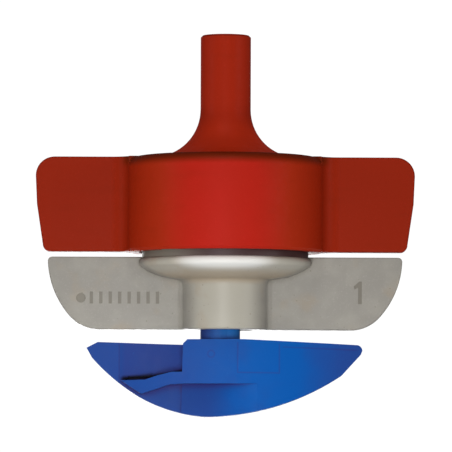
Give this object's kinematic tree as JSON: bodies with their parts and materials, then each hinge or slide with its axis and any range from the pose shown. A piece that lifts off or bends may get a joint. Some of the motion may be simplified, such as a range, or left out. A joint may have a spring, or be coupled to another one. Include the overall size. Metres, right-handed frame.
{
  "type": "spinning micro-sprinkler",
  "caption": "Bridgeless micro-sprinkler hanging from a press-fit stem: winged inlet cup, twist-in winged holder and a half-moon swivel that spins and throws the jet.",
  "frame": {"origin": "on the inlet stem's axis, at its upper end face", "axes": "+Z along the stem, out of its end; X along the finger wings; -Y is the front, with the jet recess"},
  "size_m": [0.0474, 0.0248, 0.0478],
  "materials": {
    "inlet_red": "satin",
    "holder_grey": "satin",
    "swivel_blue": "satin",
    "acetal": "satin",
    "seal_rubber": "matte"
  },
  "bodies": {
    "inlet": {"inlet_body": "inlet_red", "nozzle_insert": "acetal"},
    "holder": {"swivel_holder": "holder_grey", "neck_seal_ring": "seal_rubber", "bearing_sleeve": "acetal"},
    "thrust": {"thrust_washer": "acetal"},
    "rotor": {"swivel": "swivel_blue", "retaining_collar": "acetal"}
  },
  "joints": [
    {"name": "bayonet_turn", "type": "hinge", "parent": "inlet", "child": "holder", "pos_m": [0, 0, -0.0222], "axis": [0, 0, 1], "range_deg": [0, 50]},
    {"name": "swivel_lift", "type": "slide", "parent": "holder", "child": "thrust", "axis": [0, 0, 1], "range_m": [0, 0.0011]},
    {"name": "swivel_spin", "type": "hinge", "parent": "thrust", "child": "rotor", "pos_m": [0, 0, -0.031], "axis": [0, 0, 1], "continuous": true}
  ]
}
